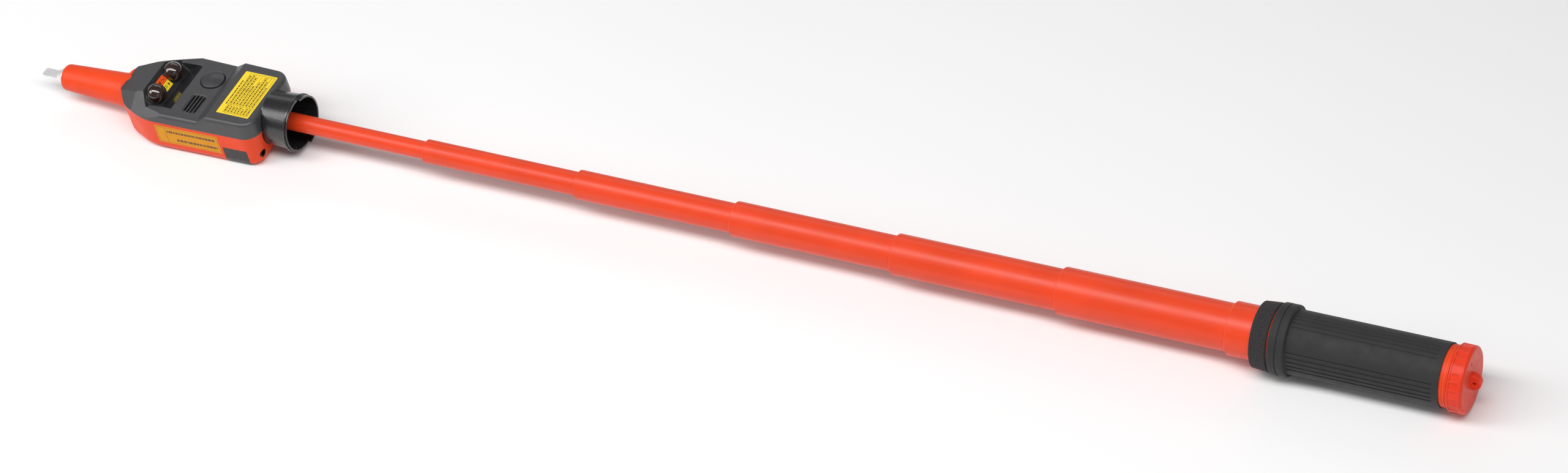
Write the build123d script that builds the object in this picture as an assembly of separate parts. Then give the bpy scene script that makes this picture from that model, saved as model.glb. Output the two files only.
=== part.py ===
"""Telescopic high-voltage proximity tester: sensing head on a six-draw insulating pole.

Working frame: X runs along the pole, x = 0 at the mouth of draw tube 2, z = 0 on the pole
axis, +Z out of the lamp cover.  Every piece is moved to the standing frame on export:
origin under the middle of the overall length, on the surface the tester lies on.
"""
from math import radians, sin, tan
import os

from build123d import *

# ---------------------------------------------------------------- driving dimensions (mm)
# telescopic pole
draw_tubes = 6                # sliding tubes; the handle tube is the next size up
tube_exposed = 112.0          # bare length of each drawn-out tube
first_tube_radius = 6.0
radial_step = 1.825           # growth in radius from each tube to the next
tube_wall = 1.2
lip_length = 13.0             # thick bearing lip inside each tube's mouth
stop_length = 12.0            # stop ring on each tube's tail
draw_clearance = 0.06         # radial, tube in lip and stop ring in bore
mouth_chamfer = 0.4
bond_gap = 0.02               # glue line between bonded round pieces

# handle, placed from the mouth of the handle tube
handle_mouth_x = (draw_tubes - 1) * tube_exposed
handle_tube_radius = first_tube_radius + draw_tubes * radial_step
core_wall = 2.15
core_radius = handle_tube_radius + core_wall
core_front_x = handle_mouth_x + 16.5
core_length = 124.5
core_rear_x = core_front_x + core_length
bead_height = 0.35
band_x0 = core_front_x + 0.5
band_length = 11.0
band_x1 = band_x0 + band_length
band_front_radius, band_rear_radius = core_radius + 1.7, core_radius + 2.7
flange_gap, flange_length = 1.2, 10.8
flange_x0 = band_x1 + flange_gap
flange_x1 = flange_x0 + flange_length
flange_radius = core_radius + 3.4
flange_groove_x, flange_groove_width, flange_groove_depth = flange_x0 + 5.0, 0.9, 0.5
grip_radius = core_radius + 1.05
grip_rear_x = core_rear_x - 4.5
groove_groups = (7.0, 89.0, 187.0, 269.0)   # degrees round the grip
grooves_per_group = 5
groove_pitch = 9.0            # degrees
groove_depth, groove_width = 0.55, 1.1
groove_x0, groove_x1 = flange_x1 + 1.0, grip_rear_x - 4.0

# screw cap
bush_length = 12.0
bush_wall = 3.6
bush_exposed = 8.0
cap_radius = core_radius + 2.1
cap_x0 = core_rear_x + 0.6
cap_length = 10.0
cap_facets = 24
facet_depth = 0.35
seal_thickness = 0.5
screw_clearance = 0.08
lug_thickness = 4.6
lug_radius = 6.0
lug_hole_radius = 1.2
lug_hole_offset = 1.9
dash_z0, dash_z1 = 12.4, 14.6    # small moulded mark on the cap's face

# head outline at the parting plane, half of it from nose to rear
head_front_x = -229.5
head_rear_x = -114.3
head_nose_half_width = 8.0
shoulder_point = (-219.0, 22.0)
widest_point = (-199.0, 31.0)
rear_half_width = 29.2
corner_radii = [7.0, 20.0, 40.0, 10.5]
parting_z = 3.75
head_bottom_z = -22.5
head_wall = 2.2
shell_draft = 4.4             # degrees
cover_draft = 5.0
shell_edge_radius = 6.0
cover_edge_radius = 3.0

# cover relief, side view
hood_front_x, hood_front_z = -227.0, 7.3
ridge_x, ridge_z, ridge_half_width = -205.0, 14.7, 16.5
rim_x, rim_z = -199.3, 9.6
deck_x, deck_z = -186.0, 10.6
step_low_x, step_high_x, rear_deck_z = -157.4, -149.7, 15.9
facet_side_slope, facet_front_slope = 0.75, 0.50
shoulder_half_width, shoulder_front_slope = 24.0, 0.30
valley_x, valley_z = -192.5, 3.5
ramp_top_x = -180.3
recess_half_width = 21.9
# plan of the recess from its front corner, through the dart at the rim, to the ledge
recess_plan = [(-205.0, 16.5), (-202.6, 20.6), (-198.0, 24.0), (-197.2, 21.9)]
recess_wall = 1.9

# lamps and tiles on the sloping display face
lamp_offset_y = 11.2
lamp_radius = 6.8
lamp_lift = 1.6
lamp_spigot_radius = 5.4
lamp_wall = 1.3
led_radius = 2.5
led_leg_radius = 0.3
tile_depth, tile_width, tile_thickness = 4.8, 8.4, 0.5

# button, switch and buzzer
button_x, button_y = -166.8, 11.3
button_radius = 8.0
button_gap = 0.45
button_hole_chamfer = 0.5
button_crown = 2.2
button_rim_round = 0.8
button_flange = 1.2
button_flange_thickness = 1.4
button_travel = 1.2
switch_width, switch_height = 6.2, 4.2
plunger_radius = 1.7
plunger_clearance = 0.06
buzzer_x, buzzer_y = -167.2, -13.0
buzzer_radius = 7.0
slot_count, slot_pitch, slot_width, slot_length = 4, 2.55, 1.75, 17.2
pocket_half_x, pocket_half_y, pocket_depth, pocket_corner = 5.6, 8.9, 0.4, 2.2

# labels
top_plate_x0, top_plate_x1, top_plate_half_width = -145.0, -120.6, 20.8
side_plate_x0, side_plate_x1 = -191.0, -143.2
side_plate_z0, side_plate_z1 = -14.6, 1.2
plate_thickness = 0.35
plate_proud = 0.1
plate_recess = 0.5

# battery bay
door_x0, door_x1 = -141.2, -123.2
door_top_z = -8.0
door_far_y = 24.0
door_lip_y = 24.9             # inner face of the side lip
door_gap = 0.15
door_tongue = 1.2
cell_radius, cell_length = 5.25, 44.5
bay_clearance = 0.25
contact_thickness = 0.6
holder_wall = 1.0
holder_foot = 1.6            # the holder stands this far over the shell floor

# board, screws, sensor line, earth terminal
board_thickness = 1.6
board_corner = 8.0
board_top_z = 0.0
board_x0, board_x1, board_half_width = -216.0, -145.5, 23.2
screw_points = [(-211.0, 17.0), (-211.0, -17.0), (-150.0, 21.0), (-150.0, -21.0)]
boss_radius = 3.3
screw_radius, screw_head_radius, screw_head_height = 1.3, 2.5, 1.8
screw_length = 24.0
nose_axis_z = -4.8
nose_rear_radius, nose_front_radius, nose_front_x = 11.5, 8.9, -279.6
nose_round = 3.0
nose_wall = 2.6
spigot_radius = 10.0
front_boss_radius, front_boss_flare = 11.9, 0.8
front_boss_x0, front_boss_x1 = -231.6, -225.4
front_lip_x, front_lip_z = -226.9, 7.4
ferrule_base_radius, ferrule_tip_radius, ferrule_length = 6.2, 3.9, 5.2
ferrule_spigot_radius, ferrule_spigot_length = 5.0, 6.0
blade_width, blade_thickness, blade_tip_x, blade_root_x = 7.0, 1.4, -297.0, -278.0
sensor_rod_radius = 1.0
sensor_clip_x, sensor_clip_size = -211.5, 4.0
earth_y, earth_z = -20.5, -13.7
earth_bore_radius, earth_bush_radius, earth_bore_length = 2.0, 2.9, 5.5

# docking collar
collar_clearance = 0.2        # radial, round the handle tube at the cup's floor
collar_flare = 0.75           # the bore widens this much from floor to rim
collar_floor_bore = handle_tube_radius + collar_clearance
collar_bore = collar_floor_bore + collar_flare
collar_wall_thickness = 1.45
collar_radius = collar_bore + collar_wall_thickness
collar_taper = 1.3            # the cup narrows this much from rim to floor
collar_rim_x, collar_floor_x = -95.2, -115.6
collar_front_x = -119.4
collar_half_step = 2.2
collar_bead = 0.4
collar_pad_height, collar_pad_z = 0.4, 13.4   # raised saddle on top of the cup
collar_boss_radius, collar_boss_x = 8.2, -112.2
collar_gap = 0.05
tab_height = 1.2
tab_half_span = 8.0
pin_radius, pin_x = 1.25, -117.5
pin_end_depth = 0.8           # the pin's ends lie this far inside the collar

# ---------------------------------------------------------------- derived values
lap = lip_length + stop_length
origin_x = (blade_tip_x + cap_x0 + cap_length + lug_radius) / 2.0
rest_height = -head_bottom_z


def tube_radius(number):
    return first_tube_radius + (number - 1) * radial_step


def bore_radius(number):
    return tube_radius(number) - tube_wall


def mouth_x(number):
    return (number - 2) * tube_exposed


def tail_x(number):
    return mouth_x(number + 1) + lap


# ---------------------------------------------------------------- small helpers
def rod(radius, x0, x1, y=0.0, z=0.0):
    """Solid round bar along X."""
    bar = Cylinder(radius, x1 - x0, rotation=(0, 90, 0))
    return Pos((x0 + x1) / 2.0, y, z) * bar


def ring(inner, outer, x0, x1):
    return rod(outer, x0, x1) - rod(inner, x0 - 1, x1 + 1)


def block(x0, x1, y0, y1, z0, z1):
    body = Box(x1 - x0, y1 - y0, z1 - z0)
    return Pos((x0 + x1) / 2.0, (y0 + y1) / 2.0, (z0 + z1) / 2.0) * body


def post(radius, x, y, z0, z1):
    return Pos(x, y, (z0 + z1) / 2.0) * Cylinder(radius, z1 - z0)


def turned(points, z=0.0):
    """Solid of revolution about the pole axis from (x, radius) points."""
    face = make_face(Plane.XZ * Polyline(*points, close=True))
    return Pos(0, 0, z) * revolve(face, axis=Axis.X)


def side_prism(points, half_width):
    """Prism across the head from (x, z) points."""
    face = make_face(Plane.XZ * Polyline(*points, close=True))
    return extrude(face, half_width, both=True)


def save(name, *solids):
    """Move the solids to the standing frame and write them as one node."""
    shift = Pos(-origin_x, 0, rest_height)
    placed = [shift * piece for solid in solids for piece in solid.solids()]
    shape = placed[0] if len(placed) == 1 else Compound(children=placed)
    export_step(shape, f"parts/{name}.step")


# ---------------------------------------------------------------- pole
def draw_tube(number, front_x, rear_x):
    """One tube with a bearing lip in its mouth for the next smaller tube."""
    outer = tube_radius(number)
    lip = tube_radius(number - 1) + draw_clearance
    inner = bore_radius(number)
    c = mouth_chamfer
    body = turned([
        (front_x, lip + c), (front_x, outer - c), (front_x + c, outer),
        (rear_x, outer), (rear_x, inner), (front_x + lip_length, inner),
        (front_x + lip_length, lip), (front_x + c, lip)])
    return body


def pin_hole():
    """Cross hole for the pin, right through tube and collar."""
    length = 3 * collar_radius
    return Pos(pin_x, 0, 0) * Cylinder(pin_radius + bond_gap, length, rotation=(90, 0, 0))


def first_tube():
    """The slimmest tube, bonded and pinned into the head's collar."""
    body = ring(bore_radius(1), tube_radius(1), collar_front_x, tail_x(1))
    return body - pin_hole()


def stop_ring(number):
    rear = tail_x(number)
    inner = tube_radius(number) + bond_gap
    outer = bore_radius(number + 1) - draw_clearance
    return ring(inner, outer, rear - stop_length, rear)


def build_pole():
    save("tube_1", first_tube())
    for number in range(2, draw_tubes + 1):
        save(f"tube_{number}", draw_tube(number, mouth_x(number), tail_x(number)))
    for number in range(1, draw_tubes + 1):
        save(f"stop_ring_{number}", stop_ring(number))
    save("handle_tube", draw_tube(draw_tubes + 1, handle_mouth_x, core_rear_x))


# ---------------------------------------------------------------- handle
def grip_core():
    """Orange sleeve under the rubber, with two beads on its bare rear neck."""
    body = ring(tube_radius(draw_tubes + 1) + bond_gap, core_radius, core_front_x, core_rear_x)
    for bead_x in (grip_rear_x + 1.0, grip_rear_x + 2.8):
        body += ring(core_radius - 0.5, core_radius + bead_height, bead_x, bead_x + 0.8)
    return body


def rubber_grip():
    """Rubber sleeve with a rounded hand guard and groups of long grooves."""
    inner = core_radius + bond_gap
    body = ring(inner, grip_radius, flange_x1 - 1.0, grip_rear_x)
    guard = ring(inner, flange_radius, flange_x0, flange_x1)
    rims = guard.edges().filter_by(GeomType.CIRCLE).filter_by(lambda e: e.radius > grip_radius)
    guard = fillet(rims, 1.5)
    guard -= ring(flange_radius - flange_groove_depth, flange_radius + 1, flange_groove_x,
                  flange_groove_x + flange_groove_width)
    body += guard
    for group in groove_groups:
        for index in range(grooves_per_group):
            angle = group + (index - (grooves_per_group - 1) / 2.0) * groove_pitch
            cut = block(groove_x0, groove_x1, -grip_radius - 1, -grip_radius + groove_depth,
                        -groove_width / 2, groove_width / 2)
            body -= Rot(-angle, 0, 0) * cut
    return body


def grip_band():
    inner = core_radius + bond_gap
    body = turned([(band_x0, inner), (band_x0, band_front_radius),
                   (band_x1, band_rear_radius), (band_x1, inner)])
    rims = body.edges().filter_by(GeomType.CIRCLE).filter_by(lambda e: e.radius > inner + 1)
    return fillet(rims, 0.6)


def tail_bush():
    """Bush bonded in the handle tube's tail; the cap screws onto its bare end."""
    outer = bore_radius(draw_tubes + 1) - bond_gap
    front = core_rear_x + bush_exposed - bush_length
    return ring(outer - bush_wall, outer, front, core_rear_x + bush_exposed)


def cap_seal():
    inner = bore_radius(draw_tubes + 1) + 0.3
    return ring(inner, core_radius - 0.6, core_rear_x + 0.05, core_rear_x + 0.05 + seal_thickness)


def end_cap():
    """Faceted screw cap with a half-round lanyard lug."""
    x1 = cap_x0 + cap_length
    body = rod(cap_radius, cap_x0, x1)
    rims = body.edges().filter_by(GeomType.CIRCLE)
    body = fillet(rims.sort_by(Axis.X)[-1], 2.0)
    body = chamfer(body.edges().filter_by(GeomType.CIRCLE).sort_by(Axis.X)[0], 0.6)
    for index in range(cap_facets):
        half = cap_radius * sin(radians(180.0 / cap_facets)) - 0.45
        cut = block(cap_x0 + 1.4, x1 - 2.6, -half, half,
                    cap_radius - facet_depth, cap_radius + 1)
        body -= Rot(index * 360.0 / cap_facets, 0, 0) * cut
    bore = bore_radius(draw_tubes + 1) + screw_clearance
    body -= rod(bore, cap_x0 - 1, core_rear_x + bush_exposed + 0.3)
    lug = Pos(x1, 0, 0) * Cylinder(lug_radius, lug_thickness, rotation=(90, 0, 0))
    lug = fillet(lug.edges().filter_by(GeomType.CIRCLE), 0.6)
    body += lug & block(x1 - 0.5, x1 + lug_radius + 1, -5, 5, -20, 20)
    hole = Cylinder(lug_hole_radius, 20, rotation=(90, 0, 0))
    body -= Pos(x1 + lug_hole_offset, 0, 0) * hole
    dash = block(x1 - 0.5, x1 + 1, -0.5, 0.5, dash_z0, dash_z1)
    return body - dash


def build_handle():
    save("grip_core", grip_core())
    save("rubber_grip", rubber_grip())
    save("grip_band", grip_band())
    save("tail_bush", tail_bush())
    save("cap_seal", cap_seal())
    save("end_cap", end_cap())


# ---------------------------------------------------------------- head volumes
def head_outline(inset=0.0):
    half = FilletPolyline((head_front_x, 0), (head_front_x, head_nose_half_width),
                          shoulder_point, widest_point, (head_rear_x, rear_half_width),
                          (head_rear_x, 0), radius=corner_radii)
    face = make_face(half + mirror(half, Plane.XZ))
    if inset:
        face = offset(face, -inset, kind=Kind.INTERSECTION)
    return Pos(0, 0, parting_z) * face


def shell_volume(inset=0.0, floor=0.0):
    depth = parting_z - head_bottom_z - floor
    return extrude(head_outline(inset), depth, dir=(0, 0, -1), taper=shell_draft)


def facet(corner, front_slope, side_slope):
    """Everything above a plane that falls away to the front and to one side."""
    normal = Vector(-front_slope, side_slope, 1).normalized()
    return Plane(origin=corner, z_dir=normal) * Pos(0, 0, 40) * Box(160, 160, 80)


def hood_facet(sign, lower=0.0):
    corner = Vector(ridge_x, sign * ridge_half_width, ridge_z - lower)
    return facet(corner, facet_front_slope, sign * facet_side_slope)


def shoulder_facet(sign, lower=0.0):
    corner = Vector(rim_x, sign * shoulder_half_width, rim_z - lower)
    return facet(corner, shoulder_front_slope, sign * facet_side_slope)


def cover_profile(lower=0.0):
    """Side view of the cover's top: hood, rim, deck, step and rear deck."""
    return [(head_front_x - 3, parting_z - 20), (head_front_x - 3, parting_z - lower),
            (hood_front_x, hood_front_z - lower), (ridge_x - lower * 0.3, ridge_z - lower),
            (rim_x - lower * 0.7, rim_z - lower), (deck_x, deck_z - lower),
            (step_low_x + lower * 0.4, deck_z - lower),
            (step_high_x + lower * 0.4, rear_deck_z - lower),
            (head_rear_x + 5, rear_deck_z - lower), (head_rear_x + 5, parting_z - 20)]


def recess(grow=0.0):
    """Trough with the display face in front and a ramp up to the deck behind."""
    slope = (ridge_z - valley_z) / (valley_x - ridge_x)
    top = ridge_z + 6
    points = [(ridge_x - 6 / slope - grow * 1.4, top), (valley_x - grow * 0.4, valley_z - grow),
              (ramp_top_x + grow * 1.1, deck_z), (ramp_top_x + grow * 1.1, top)]
    prism = side_prism(points, recess_half_width + 10)
    front = [(ridge_x - 10, 0), (ridge_x - 10, ridge_half_width)]
    rear = [(ramp_top_x + 5, recess_half_width), (ramp_top_x + 5, 0)]
    half = make_face(Polyline(*front, *recess_plan, *rear, close=True))
    plan = half + mirror(half, Plane.XZ)
    if grow:
        plan = offset(plan, grow, kind=Kind.INTERSECTION)
    return prism & extrude(Pos(0, 0, -20) * plan, 60)


def recess_tub():
    """The recess's own wall where it dips below the parting plane."""
    return recess(recess_wall) & block(-230, -150, -40, 40, 1.0, parting_z + 0.1)


def cover_volume(inset=0.0, lower=0.0):
    below = extrude(head_outline(inset), 20, dir=(0, 0, -1), taper=cover_draft)
    body = mirror(below, about=Plane.XY.offset(parting_z))
    body &= side_prism(cover_profile(lower), 60)
    for sign in (-1, 1):
        body -= hood_facet(sign, lower * 1.2)
    return body


def display_plane(along=0.5):
    """Plane on the display face, its z axis pointing out towards the user."""
    start = Vector(ridge_x, 0, ridge_z)
    end = Vector(valley_x, 0, valley_z)
    origin = start + (end - start) * along
    down = (end - start).normalized()
    normal = Vector(0, 1, 0).cross(down) * -1
    if normal.Z < 0:
        normal = normal * -1
    return Plane(origin=origin, x_dir=down, z_dir=normal)


# ---------------------------------------------------------------- head shells
def collar_cut():
    """Room for the collar and its three retaining tabs in both shells."""
    cut = rod(collar_root_radius() + collar_gap, collar_front_x - 3, collar_floor_x + 0.1)
    cut += turned([(collar_floor_x, 0), (collar_floor_x, collar_root_radius() + collar_gap),
                   (collar_rim_x, collar_radius + collar_gap), (collar_rim_x, 0)])
    return (cut & keep_inside_cover(collar_gap)) + retaining_tabs(collar_gap + 0.05)


def retaining_tabs(grow=0.0):
    disc = rod(collar_root_radius() + tab_height + grow, collar_front_x - grow,
               collar_front_x + 2.0 + grow)
    span = tab_half_span + grow
    sides = disc & block(-200, 0, -60, 60, -span, span)
    below = disc & block(-200, 0, -span, span, -60, 0)
    return (sides + below) & block(-200, 0, -60, 60, head_bottom_z + 2.0, 60)


def door_space(grow=0.0):
    """Slot for the battery door: underside plate with tongues and a side lip."""
    x0, x1 = door_x0 - grow, door_x1 + grow
    space = block(x0, x1, -40, door_far_y + grow, head_bottom_z - 5,
                  head_bottom_z + head_wall + grow)
    space += block(x0, x1, -40, -door_lip_y + grow, head_bottom_z - 5, door_top_z + grow)
    space += block(x0 - door_tongue, x1 + door_tongue, -40, door_far_y + grow,
                   head_bottom_z + 0.9 - grow, head_bottom_z + head_wall + grow)
    return space


def shell_cavity(gap=0.0):
    """Space inside the lower shell, its walls a further gap in."""
    cavity = shell_volume(head_wall + gap, head_wall)
    return fillet(cavity.faces().sort_by(Axis.Z)[0].edges(), shell_edge_radius - head_wall)


def lower_shell():
    shell = shell_volume()
    base = shell.faces().sort_by(Axis.Z)[0]
    shell = fillet(base.edges(), shell_edge_radius)
    shell = shell - shell_cavity()
    shell += front_boss() + front_lip()
    shell -= rod(spigot_radius + bond_gap, front_boss_x0 - 1, front_boss_x1 + 8, z=nose_axis_z)
    for x, y in screw_points:
        shell += post(boss_radius, x, y, head_bottom_z + 0.6, board_top_z - board_thickness)
    for x, y in screw_points:
        shell -= post(screw_radius + 0.2, x, y, head_bottom_z - 1, board_top_z)
        shell -= post(screw_head_radius + 0.2, x, y, head_bottom_z - 1, screw_seat_z())
    shell -= collar_cut()
    shell -= door_space(door_gap)
    shell -= side_plate()
    shell -= rod(earth_bush_radius + bond_gap, -124, -110, earth_y, earth_z)
    return shell


def front_boss(grow=0.0):
    """Flared ring round the nose cone's root."""
    boss = turned([(front_boss_x0 - grow, 0), (front_boss_x0 - grow, front_boss_radius + grow),
                   (front_boss_x1 + grow, front_boss_radius + front_boss_flare + grow),
                   (front_boss_x1 + grow, 0)], nose_axis_z)
    if grow:
        return boss
    rims = boss.edges().filter_by(GeomType.CIRCLE).sort_by(Axis.X)
    return fillet(rims[0], 0.7)


def front_lip():
    """The shell's front wall, standing above the parting plane in front of the cover."""
    below = extrude(head_outline(), front_lip_z - parting_z, dir=(0, 0, -1), taper=cover_draft)
    lip = mirror(below, about=Plane.XY.offset(parting_z))
    lip &= block(-240, front_lip_x, -40, 40, parting_z - 1, parting_z + 20)
    lip = Pos(0, 0, 0) * lip
    top = lip.faces().sort_by(Axis.Z)[-1]
    rims = [e for e in top.edges() if (e @ 0.5).X < front_lip_x - 0.05]
    return fillet(rims, 1.2)


def screw_seat_z():
    return head_bottom_z + 5.0


def cover_posts():
    """Screw posts that stand on the board and reach up into the cover."""
    posts = None
    for x, y in screw_points:
        column = post(boss_radius, x, y, board_top_z, rear_deck_z)
        posts = column if posts is None else posts + column
    keep = cover_volume() + block(-230, -100, -26, 26, -5, parting_z)
    return posts & keep


def upper_cover():
    body = cover_volume() - recess()
    body = fillet(cover_edges(body), cover_edge_radius)
    hollow = cover_volume(head_wall, 2.0) - recess(recess_wall)
    for sign in (-1, 1):
        hollow -= shoulder_facet(sign, 2.4)
    body -= hollow
    body += recess_tub() - recess()
    body += cover_posts() - recess(1.0)
    for sign in (-1, 1):
        body -= shoulder_facet(sign)
    body -= front_boss(0.03)
    body -= block(-240, front_lip_x + 0.03, -40, 40, -10, 40)
    body -= rod(spigot_radius + 1.0, front_boss_x0, front_boss_x1 + 8, z=nose_axis_z)
    body -= collar_cut()
    for sign in (-1, 1):
        hole = Pos(0, sign * lamp_offset_y, 0) * Cylinder(lamp_spigot_radius + bond_gap, 12)
        body -= display_plane() * hole
    body -= post(button_radius + button_gap, button_x, button_y, deck_z - 6, deck_z + 3)
    body -= button_chamfer()
    body -= buzzer_pocket() + buzzer_slots()
    body -= block(top_plate_x0 - 0.15, top_plate_x1 + 0.15, -top_plate_half_width - 0.15,
                  top_plate_half_width + 0.15, rear_deck_z - plate_recess, rear_deck_z + 3)
    for x, y in screw_points:
        body -= post(screw_radius + bond_gap, x, y, -6, screw_seat_z() + screw_length + 0.3)
    return body


def cover_edges(body):
    """Outer top edges of the deck and rear deck, along the sides and the rear."""
    chosen = []
    for edge in body.edges():
        middle = edge @ 0.5
        if middle.Z < parting_z + 1.5:
            continue
        outside = abs(middle.Y) > recess_half_width + 3.5 or middle.X > -122
        if outside and middle.X > rim_x + 1:
            chosen.append(edge)
    return chosen


def button_chamfer():
    """Sloping edge round the button's hole."""
    wide = button_radius + button_gap + button_hole_chamfer
    cone = Cone(wide - 2 * button_hole_chamfer, wide + button_hole_chamfer, 3 * button_hole_chamfer)
    return Pos(button_x, button_y, deck_z - 0.5 * button_hole_chamfer) * cone


def buzzer_pocket():
    """Shallow rounded panel that the sound slots are cut in."""
    pocket = block(buzzer_x - pocket_half_x, buzzer_x + pocket_half_x, buzzer_y - pocket_half_y,
                   buzzer_y + pocket_half_y, deck_z - pocket_depth, deck_z + 3)
    return fillet(pocket.edges().filter_by(Axis.Z), pocket_corner)


def buzzer_slots():
    slots = None
    for index in range(slot_count):
        offset_x = (index - (slot_count - 1) / 2.0) * slot_pitch
        length = slot_length - (1.2 if index in (0, slot_count - 1) else 0.0)
        flat = block(buzzer_x + offset_x - slot_width / 2, buzzer_x + offset_x + slot_width / 2,
                     buzzer_y - length / 2, buzzer_y + length / 2, deck_z - 4, deck_z + 2)
        flat = fillet(flat.edges().filter_by(Axis.Z), slot_width * 0.42)
        slots = flat if slots is None else slots + flat
    return slots


# ---------------------------------------------------------------- lamps
def lamp_lens(sign):
    dome = Pos(0, 0, lamp_lift) * Sphere(lamp_radius)
    dome &= Pos(0, 0, 10) * Cylinder(lamp_radius + 2, 20)
    spigot = Pos(0, 0, -1.2) * Cylinder(lamp_spigot_radius, 2.4)
    lens = dome + spigot
    lens -= Pos(0, 0, lamp_lift) * Sphere(lamp_radius - lamp_wall)
    lens -= Pos(0, 0, -2.0) * Cylinder(lamp_spigot_radius - lamp_wall, 6)
    return display_plane() * Pos(0, sign * lamp_offset_y, 0) * lens


def lamp_led(sign):
    """Round LED under the lens on two long legs down to the board."""
    body = Pos(0, 0, -0.5) * Cylinder(led_radius, 4.0) + Pos(0, 0, 1.5) * Sphere(led_radius)
    body += Pos(0, 0, -2.0) * Cylinder(led_radius + 0.4, 1.0)
    for side in (-1, 1):
        body += Pos(0, side * 1.27, -10.0) * Cylinder(led_leg_radius, 16.5)
    placed = display_plane() * Pos(0, sign * lamp_offset_y, 0) * body
    return placed - block(-300, -100, -60, 60, -60, board_top_z)


def tile(upper):
    """Printed tile between the lamps, one above the other on the display face."""
    shift = -tile_depth / 2 - 0.05 if upper else tile_depth / 2 + 0.05
    body = Pos(shift, 0, tile_thickness / 2) * Box(tile_depth, tile_width, tile_thickness)
    return display_plane() * body


# ---------------------------------------------------------------- button and buzzer
def flange_top():
    return deck_z - 2.0 - 0.05


def test_button():
    """Round dome button held under the deck by its flange."""
    base = flange_top() - button_flange_thickness
    shoulder = deck_z + 0.2
    wide = button_radius + button_flange
    rim = button_radius - button_rim_round
    outline = Polyline((0, base), (wide, base), (wide, flange_top()),
                       (button_radius, flange_top()), (button_radius, shoulder))
    corner = RadiusArc((button_radius, shoulder), (rim, shoulder + button_rim_round),
                       -button_rim_round)
    crown_z = shoulder + button_crown
    dome = TangentArc((0, crown_z), (rim, shoulder + button_rim_round), tangent=(1, 0))
    face = make_face(Plane.XZ * (outline + corner + dome + Line((0, crown_z), (0, base))))
    return Pos(button_x, button_y, 0) * revolve(face, axis=Axis.Z)


def switch_plunger():
    low = board_top_z + switch_height - 1.45
    high = flange_top() - button_flange_thickness
    return post(plunger_radius, button_x, button_y, low, high)


def switch_body():
    half = switch_width / 2
    body = block(button_x - half, button_x + half, button_y - half, button_y + half,
                 board_top_z, board_top_z + switch_height)
    floor = board_top_z + switch_height - 1.45 - button_travel - 0.05
    return body - post(plunger_radius + plunger_clearance, button_x, button_y, floor, 20)


def buzzer():
    top = board_top_z + 7.4
    body = post(buzzer_radius, buzzer_x, buzzer_y, board_top_z, top)
    body -= post(buzzer_radius - 0.9, buzzer_x, buzzer_y, board_top_z + 1, top - 0.9)
    return body - post(1.5, buzzer_x, buzzer_y, top - 2, top + 1)


# ---------------------------------------------------------------- labels
def top_plate():
    floor = rear_deck_z - plate_recess
    plate = block(top_plate_x0, top_plate_x1, -top_plate_half_width, top_plate_half_width,
                  floor, floor + plate_thickness)
    return fillet(plate.edges().filter_by(Axis.Z), 0.8)


def side_plate():
    """Label let into the near side wall, a hair proud of it."""
    outside = extrude(head_outline(-plate_proud), parting_z - head_bottom_z, dir=(0, 0, -1),
                      taper=shell_draft)
    skin = outside - shell_volume(plate_thickness - plate_proud)
    return skin & block(side_plate_x0, side_plate_x1, -60, 0, side_plate_z0, side_plate_z1)


# ---------------------------------------------------------------- battery bay
def battery_door():
    outer = shell_volume()
    outer = fillet(outer.faces().sort_by(Axis.Z)[0].edges(), shell_edge_radius)
    return outer & door_space()


def cell_centres():
    low = head_bottom_z + head_wall + 1.2 + cell_radius
    gap = 2 * cell_radius + 0.6
    return [low, low + gap]


def cell_x():
    return (door_x0 + door_x1) / 2.0


def battery_cells():
    cells = []
    for index, z in enumerate(cell_centres()):
        can = Pos(cell_x(), 0, z) * Cylinder(cell_radius, cell_length - 1, rotation=(90, 0, 0))
        end = -1 if index else 1
        nub = Pos(cell_x(), end * cell_length / 2, z) * Cylinder(2.0, 1.0, rotation=(90, 0, 0))
        cells.append(Pos(0, -0.5 * end, 0) * can + Pos(0, -0.5 * end, 0) * nub)
    return cells


def bay_half_length():
    return cell_length / 2 + bay_clearance + contact_thickness


def battery_holder():
    """Open cradle on the shell floor round the door slot."""
    low = head_bottom_z + head_wall
    high = cell_centres()[1] + 2.0
    x0, x1 = door_x0 - holder_foot, door_x1 + 0.3
    half = bay_half_length() + holder_wall
    holder = block(x0, x1, -half, half, low + door_gap + 0.1, high)
    pocket = cell_radius + bay_clearance
    holder -= block(cell_x() - pocket, cell_x() + pocket, -bay_half_length(),
                    bay_half_length(), low - 5, high + 5)
    for side0, side1 in ((x0, cell_x() - pocket), (cell_x() + pocket, x1)):
        holder -= block(side0 + holder_wall, side1 - holder_wall, -half + holder_wall,
                        half - holder_wall, low - 5, high - holder_wall)
    inside = shell_cavity(0.2)
    holder = holder & (inside + block(-230, -100, -25, 25, parting_z, 20))
    return holder - collar_cut()


def contact_plate(y0, z_list):
    y1 = y0 + contact_thickness
    low = min(z_list) - 4.0
    high = max(z_list) + 4.0
    return block(cell_x() - 4.5, cell_x() + 4.5, y0, y1, low, high)


def build_battery_bay():
    save("battery_door", battery_door())
    save("battery_cells", *battery_cells())
    save("battery_holder", battery_holder())
    inner = bay_half_length()
    save("contact_bridge", contact_plate(inner - contact_thickness, cell_centres()))
    tabs = [contact_plate(-inner, [z]) for z in cell_centres()]
    save("contact_tabs", *tabs)


# ---------------------------------------------------------------- inner pieces
def circuit_board():
    low = board_top_z - board_thickness
    board = block(board_x0, board_x1, -board_half_width, board_half_width, low, board_top_z)
    front = board.edges().filter_by(Axis.Z).sort_by(Axis.X)[:2]
    board = chamfer(front, board_corner)
    for x, y in screw_points:
        board -= post(screw_radius + 0.2, x, y, low - 1, board_top_z + 1)
    return board


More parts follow.
